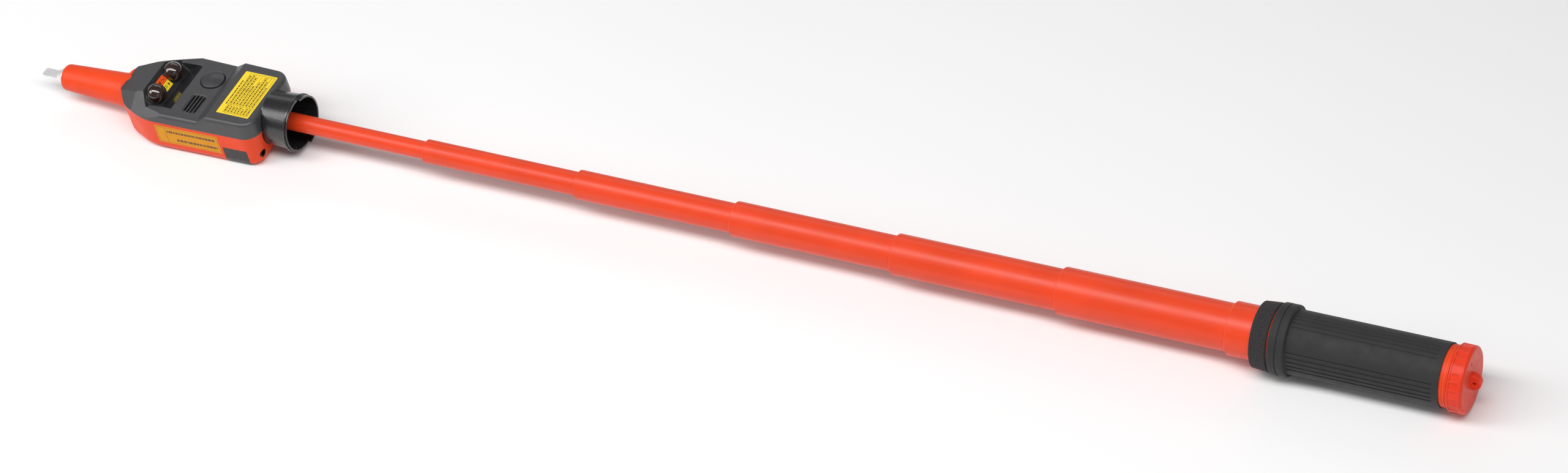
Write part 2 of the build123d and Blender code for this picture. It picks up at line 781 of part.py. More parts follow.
def cover_screws():
    screws = []
    for x, y in screw_points:
        seat = screw_seat_z()
        screw = post(screw_radius, x, y, seat - 0.5, seat + screw_length)
        screw += post(screw_head_radius, x, y, seat - screw_head_height, seat)
        for turn in (0, 90):
            slot = Rot(0, 0, turn) * Box(2.6, 0.6, 1.6)
            screw -= Pos(x, y, seat - screw_head_height) * slot
        screws.append(screw)
    return screws


def nose_cone():
    x1 = front_boss_x0
    outer = [(nose_front_x, 0), (nose_front_x, nose_front_radius),
             (x1, nose_rear_radius), (x1, spigot_radius), (front_boss_x1, spigot_radius),
             (front_boss_x1, 0)]
    body = turned(outer, nose_axis_z)
    rims = body.edges().filter_by(GeomType.CIRCLE).sort_by(Axis.X)
    body = fillet(rims[0], nose_round)
    cavity = turned([(nose_front_x + 3.5, 0), (nose_front_x + 3.5, nose_front_radius - nose_wall),
                     (x1, nose_rear_radius - nose_wall - 0.8),
                     (front_boss_x1 + 1, spigot_radius - nose_wall + 0.8),
                     (front_boss_x1 + 1, 0)], nose_axis_z)
    body -= cavity
    return body - rod(ferrule_spigot_radius + bond_gap, nose_front_x - 1, nose_front_x + 5,
                      z=nose_axis_z)


def blade(grow=0.0):
    return block(blade_tip_x, blade_root_x, -blade_width / 2 - grow, blade_width / 2 + grow,
                 nose_axis_z - blade_thickness / 2 - grow, nose_axis_z + blade_thickness / 2 + grow)


def tip_blade():
    body = blade()
    corners = body.edges().filter_by(Axis.Z).sort_by(Axis.X)[:2]
    return chamfer(corners, 1.0)


def tip_ferrule():
    x0 = nose_front_x
    body = turned([
        (x0 + ferrule_spigot_length, 0), (x0 + ferrule_spigot_length, ferrule_spigot_radius),
        (x0, ferrule_spigot_radius), (x0, ferrule_base_radius),
        (x0 - 1.0, ferrule_base_radius - 0.1), (x0 - ferrule_length, ferrule_tip_radius),
        (x0 - ferrule_length, 0)], nose_axis_z)
    body -= blade(bond_gap)
    return body - rod(sensor_rod_radius + bond_gap, x0 + 3.0, x0 + 10, z=nose_axis_z)


def sensor_rod():
    return rod(sensor_rod_radius, nose_front_x + 3.0 + bond_gap, sensor_clip_x + 1.5,
               z=nose_axis_z)


def sensor_clip():
    half = sensor_clip_size / 2
    body = block(sensor_clip_x - half, sensor_clip_x + half, -half, half,
                 nose_axis_z - 1.8, board_top_z - board_thickness)
    return body - rod(sensor_rod_radius + bond_gap, sensor_clip_x - 5, sensor_clip_x + 1.6,
                      z=nose_axis_z)


def earth_terminal():
    """Brass bush in the rear wall for the earth lead's plug."""
    rear = head_rear_x - (parting_z - earth_z) * tan(radians(shell_draft)) - 0.3
    x0 = rear - earth_bore_length
    body = rod(earth_bush_radius, x0 - 1.0, rear, earth_y, earth_z)
    return body - rod(earth_bore_radius, x0, rear + 1, earth_y, earth_z)


# ---------------------------------------------------------------- collar
def collar_root_radius():
    return collar_radius - collar_taper


def collar_wall(x1, extra=0.0):
    """Slightly conical cup wall from its floor to x1, its outside moved by extra."""
    length = collar_rim_x - collar_floor_x
    share = (x1 - collar_floor_x) / length
    outer = collar_root_radius() + collar_taper * share
    inner = collar_floor_bore + (collar_bore - collar_floor_bore) * share
    return turned([(collar_floor_x, collar_floor_bore),
                   (collar_floor_x, collar_root_radius() + extra),
                   (x1, outer + extra), (x1, inner)])


def docking_collar():
    """Cup that swallows the handle tube's mouth when the pole is collapsed."""
    body = collar_wall(collar_rim_x, -collar_pad_height)
    body += collar_wall(collar_rim_x) & block(-120, -80, -40, 40, collar_pad_z, 40)
    far_half = collar_wall(collar_rim_x + collar_half_step, -collar_pad_height)
    body += far_half & block(-120, -80, 2.5, 40, -40, 40)
    body += ring(collar_radius - 0.6, collar_radius + collar_bead, collar_rim_x - 2.2,
                 collar_rim_x - 1.2)
    body += rod(collar_root_radius(), collar_front_x, collar_floor_x)
    body += rod(collar_boss_radius, collar_floor_x - 1, collar_boss_x)
    for angle in (25, 155, 205, 335):
        rib = block(collar_floor_x + 7, collar_rim_x - 3, -0.7, 0.7,
                    collar_floor_bore, collar_floor_bore + 1.0)
        body += Rot(angle, 0, 0) * rib
    body += retaining_tabs()
    body &= keep_inside_cover()
    body -= rod(tube_radius(1) + bond_gap, -130, -90)
    return body - pin_hole()


def keep_inside_cover(grow=0.0):
    """The collar's front end is trimmed to the height of the cover's inside."""
    trim_x = collar_floor_x - 1.2
    inside = block(-130, trim_x, -60, 60, head_bottom_z + head_wall - 0.1 - grow,
                   rear_deck_z - head_wall + grow)
    return inside + block(trim_x - grow, -60, -60, 60, -60, 60)


def pole_pin():
    length = 2 * (collar_root_radius() - pin_end_depth)
    return Pos(pin_x, 0, 0) * Cylinder(pin_radius, length, rotation=(90, 0, 0))


def build_head():
    save("lower_shell", lower_shell())
    save("upper_cover", upper_cover())
    save("nose_cone", nose_cone())
    save("tip_ferrule", tip_ferrule())
    save("tip_blade", tip_blade())
    save("sensor_rod", sensor_rod())
    save("sensor_clip", sensor_clip())
    save("circuit_board", circuit_board())
    save("cover_screws", *cover_screws())
    for name, sign in (("far", 1), ("near", -1)):
        save(f"lamp_lens_{name}", lamp_lens(sign))
        save(f"lamp_led_{name}", lamp_led(sign))
    save("ac_tile", tile(True))
    save("dc_tile", tile(False))
    save("test_button", test_button())
    save("switch_plunger", switch_plunger())
    save("switch_body", switch_body())
    save("buzzer", buzzer())
    save("top_plate", top_plate())
    save("side_plate", side_plate())
    save("earth_terminal", earth_terminal())
    save("docking_collar", docking_collar())
    save("pole_pin", pole_pin())


def main():
    os.makedirs("parts", exist_ok=True)
    build_pole()
    build_handle()
    build_head()
    build_battery_bay()


main()
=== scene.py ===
"""Finish, print and woven detail of the telescopic proximity tester, and its studio."""
import math
import random

import bmesh
import bpy
from mathutils import Matrix, Vector


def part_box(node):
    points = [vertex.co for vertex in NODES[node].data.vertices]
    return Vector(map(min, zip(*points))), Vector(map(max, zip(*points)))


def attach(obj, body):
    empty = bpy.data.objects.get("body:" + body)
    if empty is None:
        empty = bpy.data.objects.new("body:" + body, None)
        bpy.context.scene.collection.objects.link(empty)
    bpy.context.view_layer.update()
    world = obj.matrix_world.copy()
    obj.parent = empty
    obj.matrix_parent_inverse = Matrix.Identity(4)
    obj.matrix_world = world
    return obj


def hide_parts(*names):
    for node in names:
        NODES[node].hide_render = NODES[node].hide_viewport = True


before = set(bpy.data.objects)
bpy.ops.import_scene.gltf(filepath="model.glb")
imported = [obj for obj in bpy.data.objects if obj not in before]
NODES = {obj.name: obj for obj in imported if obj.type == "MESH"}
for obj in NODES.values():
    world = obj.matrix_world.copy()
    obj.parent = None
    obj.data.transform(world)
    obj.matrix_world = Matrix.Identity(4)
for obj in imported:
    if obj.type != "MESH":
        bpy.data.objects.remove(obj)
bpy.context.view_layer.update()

MM = 0.001

# camera, fitted to the direction and distance that the tester is seen from
CAMERA_PLACE = (1.2219, -1.8830, 2.0851)
CAMERA_AZIMUTH, CAMERA_ELEVATION, CAMERA_ROLL = 31.97, 42.99, -10.61
CAMERA_LENS, CAMERA_SENSOR = 110.46, 36.0     # mm
CAMERA_REACH = 20.0

# lamp recess: its ridge, the change of its side walls and its rear end, behind the cover's front
RECESS_RIDGE, RECESS_TURN, RECESS_END = 21.9 * MM, 29.4 * MM, 46.6 * MM
RECESS_RIDGE_HALF, RECESS_HALF = 16.5 * MM, 21.95 * MM
RECESS_FLARE = 1.316          # how fast the front corners widen
RECESS_SOFT = 0.1 * MM        # half width of the blend at the outline

# node materials
MASK_SOFT = 0.15 * MM         # half width of the blend at the end of a band
NOISE_LOW, NOISE_HIGH = 0.3, 0.7      # the range that most of a noise's values lie in
EDGE_FLAT, EDGE_SHARP = 0.985, 0.86   # bevelled against true normal, where wear starts and is full
CELL_BAND_FROM, CELL_BAND_TO = 8 * MM, 19 * MM      # end band of the cells, from their centre

# woven band
WEAVE_PITCH = 1.0 * MM
WEAVE_HEIGHT = 0.32 * MM
BAND_EDGE_ROUND = 0.8 * MM
WEAVE_STEPS = 6               # mesh steps across one thread
THREAD_WIDTH, THREAD_DIVE = 0.92, 0.80    # of a half wave, across a thread and along it
THREAD_FULLNESS = 0.7         # below 1 makes the crown of a thread broader
THREAD_LOW = 0.35             # height of a thread where it goes under, as a share
BAND_BITE = 0.3 * MM          # how far the band's inside lies within the core's radius
BAND_TAPER = 1.0 * MM         # how much smaller the band is at its front

# print on the plates and tiles
PRINT_LIFT = 0.01 * MM
PRINT_THICKNESS = 0.02 * MM
RULE_WIDTH = 0.22 * MM
DASH_SHORTEST, DASH_LONGEST = 0.8, 2.6    # mm
DASH_GAP_LEAST, DASH_GAP_MOST = 0.35, 0.6     # mm
ROW_FOOT = 0.34               # space under a row's bars, as a share of the row
TOP_LABEL_ROWS = 8
TOP_LABEL_MARGIN = 1.3 * MM
TOP_LABEL_TITLE = 3.0 * MM    # height of the strip above the table
TOP_LABEL_SPLIT = 8.0 * MM    # width of the first column
TOP_LABEL_HALF_ROWS, TOP_LABEL_HALF_SPAN = 4, 3     # first row of the middle rule, and its rows
SIDE_LABEL_ROWS = 2
SIDE_LABEL_MARGIN = 0.9 * MM
SIDE_LABEL_SPLIT = 6.5 * MM   # width of the ruled cell
ARROW_HALF, ARROW_BASE, ARROW_TIP = 1.1 * MM, 1.5, 3.2      # base and tip in mm from the centre
MARK_PLACE = 1.3              # mm from the tile's centre
BAR_HALF, BAR_HEIGHT = 1.4 * MM, 0.35 * MM
BAR_LEVELS = (-0.6 * MM, 0.5 * MM)
WAVE_STEPS, WAVE_LENGTH, WAVE_REACH, WAVE_WIDTH = 16, 3.0 * MM, 0.55 * MM, 0.36 * MM

# studio
FLOOR_HALF = 6.0
FLOOR_GREY = 0.93
SKY_STRENGTH = 0.18


def srgb(red, green, blue):
    """Linear colour from screen values of 0 to 255."""
    out = []
    for value in (red, green, blue):
        share = value / 255.0
        out.append(share / 12.92 if share < 0.04045 else ((share + 0.055) / 1.055) ** 2.4)
    return (*out, 1.0)


ORANGE_TUBE = srgb(230, 68, 30)
ORANGE_SHELL = srgb(236, 72, 30)
ORANGE_CAP = srgb(232, 62, 36)
DARK_COVER = srgb(62, 62, 64)
DARK_GLOSS = srgb(34, 34, 36)
DARK_RUBBER = srgb(44, 43, 44)
DARK_COLLAR = srgb(32, 32, 34)
LABEL_YELLOW = srgb(247, 214, 52)
LABEL_AMBER = srgb(222, 150, 6)
TILE_ORANGE = srgb(242, 88, 28)
PRINT_BROWN = srgb(92, 66, 14)


# ---------------------------------------------------------------- node materials
class Finish:
    """A node material: one Principled shader with layers of colour, gloss and relief."""

    def __init__(self, name, colour, roughness, **sockets):
        self.material = bpy.data.materials.new(name)
        self.material.use_nodes = True
        self.nodes = self.material.node_tree.nodes
        self.links = self.material.node_tree.links
        self.shader = self.nodes["Principled BSDF"]
        self.place = self.nodes.new("ShaderNodeTexCoord").outputs["Object"]
        self.shader.inputs["Base Color"].default_value = colour
        self.shader.inputs["Roughness"].default_value = roughness
        for socket, value in sockets.items():
            self.shader.inputs[socket.replace("_", " ")].default_value = value
        self.colour = colour
        self.rough = roughness
        self.normal = None

    def feed(self, value, socket):
        if isinstance(value, bpy.types.NodeSocket):
            self.links.new(value, socket)
        else:
            socket.default_value = value

    def stretched(self, stretch):
        mapping = self.nodes.new("ShaderNodeMapping")
        mapping.inputs["Scale"].default_value = stretch
        self.links.new(self.place, mapping.inputs["Vector"])
        return mapping.outputs["Vector"]

    def noise(self, size, detail, stretch=(1, 1, 1)):
        """Noise from 0 to 1 whose blobs are about size across, in metres."""
        node = self.nodes.new("ShaderNodeTexNoise")
        node.inputs["Scale"].default_value = 1.0 / size
        node.inputs["Detail"].default_value = detail
        self.links.new(self.stretched(stretch), node.inputs["Vector"])
        return node.outputs["Fac"]

    def cells(self, size, feature="F1"):
        """Distance inside cells that are about size across, in metres."""
        node = self.nodes.new("ShaderNodeTexVoronoi")
        node.feature = feature
        node.inputs["Scale"].default_value = 1.0 / size
        self.links.new(self.place, node.inputs["Vector"])
        return node.outputs["Distance"]

    def math(self, operation, first, second=0.0):
        node = self.nodes.new("ShaderNodeMath")
        node.operation = operation
        self.feed(first, node.inputs[0])
        self.feed(second, node.inputs[1])
        return node.outputs[0]

    def remap(self, value, low, high, to_low=0.0, to_high=1.0):
        node = self.nodes.new("ShaderNodeMapRange")
        self.feed(value, node.inputs["Value"])
        for name, number in (("From Min", low), ("From Max", high),
                             ("To Min", to_low), ("To Max", to_high)):
            node.inputs[name].default_value = number
        return node.outputs["Result"]

    def mix(self, factor, first, second):
        node = self.nodes.new("ShaderNodeMix")
        node.data_type = "RGBA"
        self.feed(factor, node.inputs["Factor"])
        self.feed(first, node.inputs[6])
        self.feed(second, node.inputs[7])
        return node.outputs[2]

    def axis(self, name):
        node = self.nodes.new("ShaderNodeSeparateXYZ")
        self.links.new(self.place, node.inputs[0])
        return node.outputs[name]

    def within(self, axis, low, high):
        """1 between two places along an axis, falling to 0 outside."""
        place = self.axis(axis)
        above = self.remap(place, low - MASK_SOFT, low + MASK_SOFT)
        below = self.remap(place, high - MASK_SOFT, high + MASK_SOFT, 1.0, 0.0)
        return self.math("MULTIPLY", above, below)

    def rounded(self, radius, samples):
        """Normal of the surface with its edges rounded off by a radius."""
        bevel = self.nodes.new("ShaderNodeBevel")
        bevel.samples = samples
        bevel.inputs["Radius"].default_value = radius
        return bevel.outputs[0]

    def soften(self, radius):
        """Shades edges as if they were rounded off; a relief has to follow."""
        self.normal = self.rounded(radius, 6)
        return self

    def edges(self, radius):
        """1 on sharp outer edges, 0 on flat faces."""
        true = self.nodes.new("ShaderNodeNewGeometry")
        dot = self.nodes.new("ShaderNodeVectorMath")
        dot.operation = "DOT_PRODUCT"
        self.links.new(self.rounded(radius, 4), dot.inputs[0])
        self.links.new(true.outputs["Normal"], dot.inputs[1])
        return self.remap(dot.outputs["Value"], EDGE_FLAT, EDGE_SHARP)

    def tint(self, factor, colour):
        """Mixes a second colour over what the surface has so far."""
        self.colour = self.mix(factor, self.colour, colour)
        self.links.new(self.colour, self.shader.inputs["Base Color"])
        return self

    def shade(self, value, dark, light):
        """Multiplies the colour by a noise that runs from dark to light."""
        gain = self.remap(value, NOISE_LOW, NOISE_HIGH, dark, light)
        node = self.nodes.new("ShaderNodeVectorMath")
        node.operation = "SCALE"
        colour = self.colour[:3] if isinstance(self.colour, tuple) else self.colour
        self.feed(colour, node.inputs[0])
        self.feed(gain, node.inputs["Scale"])
        self.colour = node.outputs[0]
        self.links.new(self.colour, self.shader.inputs["Base Color"])
        return self

    def gloss(self, value, low, high):
        """Roughness that runs from low to high with a noise."""
        self.rough = self.remap(value, NOISE_LOW, NOISE_HIGH, low, high)
        self.links.new(self.rough, self.shader.inputs["Roughness"])
        return self

    def gloss_where(self, factor, roughness):
        """Mixes a second roughness over what the surface has so far."""
        node = self.nodes.new("ShaderNodeMix")
        self.feed(factor, node.inputs["Factor"])
        self.feed(self.rough, node.inputs[2])
        node.inputs[3].default_value = roughness
        self.rough = node.outputs[0]
        self.links.new(self.rough, self.shader.inputs["Roughness"])
        return self

    def relief(self, height, distance, strength=1.0):
        """Bumps of a height over what the surface has so far."""
        bump = self.nodes.new("ShaderNodeBump")
        bump.inputs["Distance"].default_value = distance
        self.feed(strength, bump.inputs["Strength"])
        self.feed(height, bump.inputs["Height"])
        if self.normal is not None:
            self.links.new(self.normal, bump.inputs["Normal"])
        self.normal = bump.outputs["Normal"]
        self.links.new(self.normal, self.shader.inputs["Normal"])
        return self


def tube_finish():
    """Extruded orange pole tube: long faint draw lines under a soft gloss."""
    skin = Finish("orange_tube", ORANGE_TUBE, 0.38, IOR=1.45)
    lines = skin.noise(1.2 * MM, 3.0, stretch=(0.015, 1, 1))
    cloud = skin.noise(30 * MM, 2.0)
    scuff = skin.noise(6 * MM, 6.0, stretch=(0.25, 1, 1))
    skin.shade(cloud, 0.95, 1.05).shade(lines, 0.97, 1.03)
    skin.tint(skin.math("MULTIPLY", skin.edges(0.35 * MM), 0.75), srgb(250, 150, 122))
    skin.gloss(scuff, 0.35, 0.42)
    skin.relief(lines, 0.012 * MM).relief(skin.noise(0.25 * MM, 2.0), 0.006 * MM)
    return skin.material


def shell_finish():
    """Moulded orange shell: fine spark texture with rubbed edges."""
    skin = Finish("orange_shell", ORANGE_SHELL, 0.40, IOR=1.33)
    skin.shade(skin.noise(22 * MM, 2.0), 0.94, 1.05).shade(skin.noise(0.5 * MM, 2.0), 0.97, 1.03)
    skin.tint(skin.math("MULTIPLY", skin.edges(0.4 * MM), 0.35), srgb(246, 128, 92))
    skin.gloss(skin.noise(9 * MM, 5.0), 0.36, 0.48)
    skin.relief(skin.noise(0.35 * MM, 3.0), 0.025 * MM).relief(skin.noise(14 * MM, 1.0), 0.05 * MM)
    return skin.material


def cap_finish():
    """Glossier, slightly redder plastic of the screw cap."""
    skin = Finish("orange_cap", ORANGE_CAP, 0.36, IOR=1.3)
    skin.soften(0.5 * MM).shade(skin.noise(10 * MM, 2.0), 0.95, 1.05)
    skin.tint(skin.math("MULTIPLY", skin.edges(0.35 * MM), 0.15), srgb(250, 138, 112))
    skin.gloss(skin.noise(4 * MM, 4.0), 0.28, 0.42)
    skin.relief(skin.noise(0.5 * MM, 3.0), 0.015 * MM)
    return skin.material


def recess_mask(skin):
    """1 inside the outline of the lamp recess, seen from above."""
    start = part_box("upper_cover")[0].x
    across = skin.math("ABSOLUTE", skin.axis("Y"))
    lead = skin.math("MULTIPLY", skin.axis("X"), RECESS_FLARE)
    limit = RECESS_RIDGE_HALF - RECESS_FLARE * (start + RECESS_RIDGE)
    corner = skin.remap(skin.math("SUBTRACT", across, lead),
                        limit - RECESS_SOFT, limit + RECESS_SOFT, 1.0, 0.0)
    straight = skin.remap(across, RECESS_HALF - RECESS_SOFT, RECESS_HALF + RECESS_SOFT, 1.0, 0.0)
    flared = skin.within("X", start + RECESS_RIDGE, start + RECESS_TURN)
    along = skin.within("X", start + RECESS_RIDGE, start + RECESS_END)
    inside = skin.math("MULTIPLY", corner, skin.math("MAXIMUM", straight, flared))
    return skin.math("MULTIPLY", along, inside)


def cover_finish():
    """Spark-eroded dark grey plastic, polished inside the lamp recess."""
    skin = Finish("dark_cover", DARK_COVER, 0.40, Coat_Weight=0.25, Coat_Roughness=0.27)
    skin.soften(1.4 * MM)
    grain = skin.cells(0.42 * MM)
    fine = skin.noise(0.22 * MM, 3.0)
    skin.shade(fine, 0.86, 1.14).shade(skin.noise(16 * MM, 2.0), 0.95, 1.06)
    skin.tint(skin.math("MULTIPLY", skin.edges(0.45 * MM), 0.35), srgb(122, 122, 124))
    polished = recess_mask(skin)
    skin.tint(skin.math("MULTIPLY", polished, 0.85), DARK_GLOSS)
    skin.gloss(skin.noise(5 * MM, 4.0), 0.36, 0.48).gloss_where(polished, 0.13)
    rough_only = skin.math("SUBTRACT", 1.0, skin.math("MULTIPLY", polished, 0.95))
    skin.relief(grain, 0.05 * MM, rough_only).relief(fine, 0.03 * MM, rough_only)
    return skin.material


def collar_finish():
    """Glossy black moulding with faint flow lines round it."""
    skin = Finish("dark_collar", DARK_COLLAR, 0.27, Coat_Weight=0.35, Coat_Roughness=0.18,
                  IOR=1.55)
    flow = skin.noise(2.2 * MM, 3.0, stretch=(1, 0.12, 0.12))
    skin.shade(flow, 0.93, 1.08)
    skin.tint(skin.math("MULTIPLY", skin.edges(0.3 * MM), 0.5), srgb(112, 114, 118))
    skin.gloss(skin.noise(3 * MM, 3.0), 0.24, 0.31)
    skin.relief(flow, 0.004 * MM).relief(skin.noise(0.4 * MM, 2.0), 0.003 * MM)
    return skin.material


def button_finish():
    """Finely textured dark grey key."""
    skin = Finish("dark_button", srgb(60, 60, 62), 0.36, Coat_Weight=0.15, Coat_Roughness=0.25)
    skin.shade(skin.noise(0.3 * MM, 2.0), 0.93, 1.07)
    skin.gloss(skin.noise(3 * MM, 5.0), 0.30, 0.44)
    skin.relief(skin.noise(0.3 * MM, 3.0), 0.015 * MM)
    return skin.material


def grip_finish():
    """Matt moulded rubber, dusty on its high ridges."""
    skin = Finish("grip_rubber", DARK_RUBBER, 0.62, Sheen_Weight=0.05, Sheen_Roughness=0.5,
                  IOR=1.4)
    skin.soften(0.5 * MM)
    pores = skin.noise(0.3 * MM, 3.0)
    skin.shade(pores, 0.90, 1.10).shade(skin.noise(18 * MM, 3.0), 0.93, 1.08)
    skin.tint(skin.math("MULTIPLY", skin.edges(0.3 * MM), 0.30), srgb(86, 86, 87))
    skin.gloss(skin.noise(8 * MM, 4.0), 0.58, 0.74)
    skin.relief(pores, 0.03 * MM).relief(skin.noise(2.5 * MM, 2.0), 0.03 * MM)
    return skin.material


def webbing_finish():
    """Black nylon thread: fibres along the yarn, a dull sheen, painted highlights on its crowns.
    """
    skin = Finish("woven_band", srgb(26, 22, 24), 0.80, Sheen_Weight=0.12, Sheen_Roughness=0.4)
    fibre = skin.noise(0.18 * MM, 3.0)
    # painted highlight: the crowns of the threads, found by pointiness, are tinted lighter as if
    # they caught the light
    crown = skin.remap(skin.nodes.new("ShaderNodeNewGeometry").outputs["Pointiness"], 0.49, 0.53)
    skin.tint(skin.math("MULTIPLY", crown, 0.5), srgb(80, 74, 76))
    skin.shade(fibre, 0.6, 1.4).shade(skin.noise(1.6 * MM, 3.0), 0.75, 1.25)
    skin.gloss(fibre, 0.76, 0.92)
    skin.relief(fibre, 0.04 * MM)
    return skin.material


def lamp_finish():
    """Smoked polycarbonate dome, near black until its lamp lights."""
    skin = Finish("smoked_lens", srgb(44, 25, 18), 0.06, Coat_Weight=1.0, Coat_Roughness=0.03,
                  IOR=1.58)
    skin.shade(skin.noise(5 * MM, 2.0), 0.7, 1.3).gloss(skin.noise(2 * MM, 4.0), 0.05, 0.10)
    skin.relief(skin.noise(6 * MM, 1.0), 0.02 * MM)
    return skin.material


def film_finish(name, colour, roughness=0.38):
    """Printed film or enamel: flat colour with faint orange peel."""
    skin = Finish(name, colour, roughness, IOR=1.3)
    skin.shade(skin.noise(7 * MM, 3.0), 0.95, 1.04).shade(skin.noise(0.4 * MM, 2.0), 0.98, 1.02)
    skin.gloss(skin.noise(3 * MM, 4.0), roughness - 0.06, roughness + 0.08)
    skin.relief(skin.noise(1.2 * MM, 2.0), 0.01 * MM)
    return skin.material


def metal_finish(name, colour, roughness, metallic=1.0):
    """Plated or turned metal with fine tool lines."""
    skin = Finish(name, colour, roughness, Metallic=metallic)
    lines = skin.noise(0.5 * MM, 3.0, stretch=(0.06, 1, 1))
    skin.shade(skin.noise(5 * MM, 4.0), 0.92, 1.06).shade(lines, 0.95, 1.05)
    skin.gloss(skin.noise(2 * MM, 5.0), roughness * 0.75, roughness * 1.35)
    skin.relief(lines, 0.006 * MM)
    return skin.material


def plastic_finish(name, colour, roughness):
    """Plain moulded plastic of the door and the inner pieces."""
    skin = Finish(name, colour, roughness)
    skin.shade(skin.noise(4 * MM, 3.0), 0.93, 1.06).shade(skin.noise(0.4 * MM, 2.0), 0.96, 1.04)
    skin.gloss(skin.noise(2 * MM, 4.0), roughness - 0.07, roughness + 0.09)
    skin.relief(skin.noise(0.5 * MM, 3.0), 0.015 * MM)
    return skin.material


def board_finish():
    """Green solder mask, paler over its copper runs."""
    skin = Finish("circuit_green", srgb(22, 92, 48), 0.32, Coat_Weight=0.5, Coat_Roughness=0.15)
    runs = skin.remap(skin.cells(3.2 * MM, "DISTANCE_TO_EDGE"), 0.05, 0.08, 1.0, 0.0)
    skin.shade(skin.noise(6 * MM, 2.0), 0.9, 1.1).tint(runs, srgb(52, 132, 70))
    skin.relief(runs, 0.03 * MM)
    return skin.material


def cell_finish():
    """Plain wrapped cell: dark body with a copper-coloured end band."""
    skin = Finish("cell_wrap", srgb(38, 40, 46), 0.28, Coat_Weight=0.4, Coat_Roughness=0.1)
    low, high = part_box("battery_cells")
    centre = (low.y + high.y) / 2
    band = skin.within("Y", centre + CELL_BAND_FROM, centre + CELL_BAND_TO)
    skin.tint(band, srgb(196, 118, 62)).shade(skin.noise(8 * MM, 3.0), 0.93, 1.07)
    skin.relief(skin.noise(1.0 * MM, 2.0), 0.01 * MM)
    return skin.material


def print_finish(name, colour):
    """Screen-printed ink, a little uneven."""
    skin = Finish(name, colour, 0.5)
    skin.shade(skin.noise(0.8 * MM, 3.0), 0.85, 1.15).relief(skin.noise(0.3 * MM, 2.0), 0.005 * MM)
    return skin.material


def dress(material, *names):
    """Puts one material in every slot of each named CAD node."""
    for name in names:
        mesh = NODES[name].data
        mesh.materials.clear()
        mesh.materials.append(material)


def dress_cad():
    """Gives every CAD node its material, but grip_band, which woven_band stands for."""
    dress(tube_finish(), "handle_tube", *[f"tube_{n}" for n in range(1, 7)])
    dress(shell_finish(), "lower_shell", "nose_cone", "grip_core")
    dress(cap_finish(), "end_cap")
    dress(cover_finish(), "upper_cover")
    dress(collar_finish(), "docking_collar")
    dress(button_finish(), "test_button")
    dress(grip_finish(), "rubber_grip")
    dress(lamp_finish(), "lamp_lens_far", "lamp_lens_near")
    dress(film_finish("top_film", LABEL_YELLOW), "top_plate")
    dress(film_finish("side_film", LABEL_AMBER), "side_plate")
    dress(film_finish("orange_tile", TILE_ORANGE, 0.3), "ac_tile")
    dress(film_finish("yellow_tile", LABEL_YELLOW, 0.3), "dc_tile")
    dress(metal_finish("nickel_plate", srgb(236, 236, 236), 0.3, 0.5), "tip_ferrule", "tip_blade",
          "contact_bridge", "contact_tabs")
    dress(metal_finish("steel", srgb(182, 182, 184), 0.34), "cover_screws", "pole_pin")
    dress(metal_finish("brass", srgb(214, 170, 92), 0.28), "sensor_rod", "sensor_clip")
    dress(metal_finish("blackened_brass", srgb(52, 44, 38), 0.4), "earth_terminal")
    dress(plastic_finish("door_black", srgb(46, 42, 43), 0.42), "battery_door")
    dress(plastic_finish("acetal_white", srgb(226, 224, 216), 0.4),
          *[f"stop_ring_{n}" for n in range(1, 7)])
    dress(plastic_finish("inner_black", srgb(36, 36, 38), 0.5), "tail_bush", "battery_holder",
          "switch_body", "buzzer")
    dress(plastic_finish("seal_rubber", srgb(28, 28, 29), 0.7), "cap_seal")
    dress(plastic_finish("plunger_red", srgb(150, 40, 30), 0.4), "switch_plunger")
    dress(plastic_finish("led_epoxy", srgb(150, 60, 40), 0.2), "lamp_led_far", "lamp_led_near")
    dress(board_finish(), "circuit_board")
    dress(cell_finish(), "battery_cells")


# ---------------------------------------------------------------- meshes
def new_piece(name, mesh_data, material, body):
    """Object from a bmesh, which it frees, with its material, riding on a CAD body."""
    mesh = bpy.data.meshes.new(name)
    mesh_data.to_mesh(mesh)
    mesh_data.free()
    mesh.materials.append(material)
    piece = bpy.data.objects.new(name, mesh)
    bpy.context.scene.collection.objects.link(piece)
    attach(piece, body)
    return piece


def smooth(piece):
    for face in piece.data.polygons:
        face.use_smooth = True


def weave_height(row, turn):
    """Height of a plain weave, from 0 to 1, at a place counted in threads."""
    across, along = row % 1.0 - 0.5, turn % 1.0 - 0.5
    if (math.floor(row) + math.floor(turn)) % 2:
        across, along = along, across
    crown = math.cos(math.pi * across * THREAD_WIDTH)
    dive = math.cos(math.pi * along * THREAD_DIVE)
    return max(0.0, crown) ** THREAD_FULLNESS * (THREAD_LOW + (1 - THREAD_LOW) * max(0.0, dive))


def band_profile(low, high):
    """Outline of the band's cut from front to rear, as (x, share of the width, edge drop)."""
    width = high.x - low.x
    steps = int(round(width / WEAVE_PITCH)) * WEAVE_STEPS
    points = []
    for step in range(steps + 1):
        share = step / steps
        inset = min(share, 1.0 - share) * width
        rise = BAND_EDGE_ROUND
        if inset < BAND_EDGE_ROUND:
            rise = math.sqrt(max(0.0, BAND_EDGE_ROUND ** 2 - (BAND_EDGE_ROUND - inset) ** 2))
        points.append((low.x + share * width, share, BAND_EDGE_ROUND - rise))
    return points


